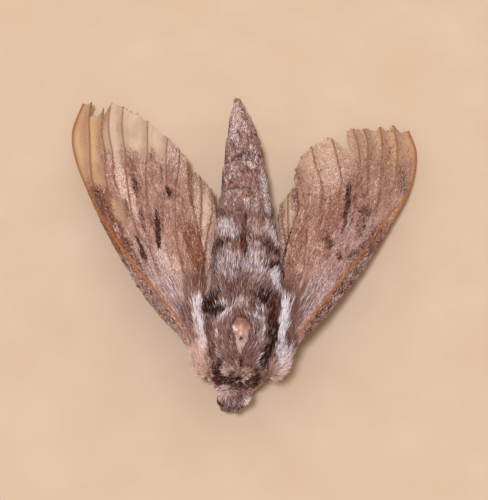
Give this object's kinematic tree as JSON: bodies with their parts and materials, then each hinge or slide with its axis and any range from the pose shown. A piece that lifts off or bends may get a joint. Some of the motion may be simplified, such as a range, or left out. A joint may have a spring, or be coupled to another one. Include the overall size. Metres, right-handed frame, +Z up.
{
  "type": "grey-brown hawk moth, still model",
  "caption": "Life-size still model of a worn grey-brown hawk moth resting with swept-back wings.",
  "frame": {"origin": "middle of the bounding box at the floor, under the front part of the abdomen", "axes": "+Z up; the head points to -Y and the tip of the abdomen to +Y, so +X is the animal's left"},
  "size_m": [0.0424, 0.0418, 0.0107],
  "materials": {
    "coat": "matt hair and scales, grey-brown with dark and whitish bands",
    "wing": "thin translucent membrane with worn matt scales and amber veins",
    "eye": "glossy dark brown faceted dome",
    "cuticle": "brown cuticle under flat scales, satin"
  },
  "bodies": {
    "root": {"collar": "coat", "thorax": "coat", "metathorax": "coat", "abdomen_1": "coat", "abdomen_2": "coat", "abdomen_3": "coat", "abdomen_4": "coat", "abdomen_5": "coat", "abdomen_6": "coat", "abdomen_7": "coat", "abdomen_8": "coat", "eye_right": "eye", "eye_left": "eye", "palp_right": "coat", "palp_left": "coat", "head": "coat", "tongue": "cuticle", "tegula_right": "coat", "tegula_left": "coat", "forewing_right": "wing", "forewing_left": "wing", "hindwing_right": "wing", "hindwing_left": "wing", "fore_femur_right": "cuticle", "fore_tibia_right": "cuticle", "fore_tarsus_right": "cuticle", "mid_femur_right": "cuticle", "mid_tibia_right": "cuticle", "mid_tarsus_right": "cuticle", "hind_femur_right": "cuticle", "hind_tibia_right": "cuticle", "hind_tarsus_right": "cuticle", "antenna_right": "cuticle", "fore_femur_left": "cuticle", "fore_tibia_left": "cuticle", "fore_tarsus_left": "cuticle", "mid_femur_left": "cuticle", "mid_tibia_left": "cuticle", "mid_tarsus_left": "cuticle", "hind_femur_left": "cuticle", "hind_tibia_left": "cuticle", "hind_tarsus_left": "cuticle", "antenna_left": "cuticle"}
  },
  "joints": []
}
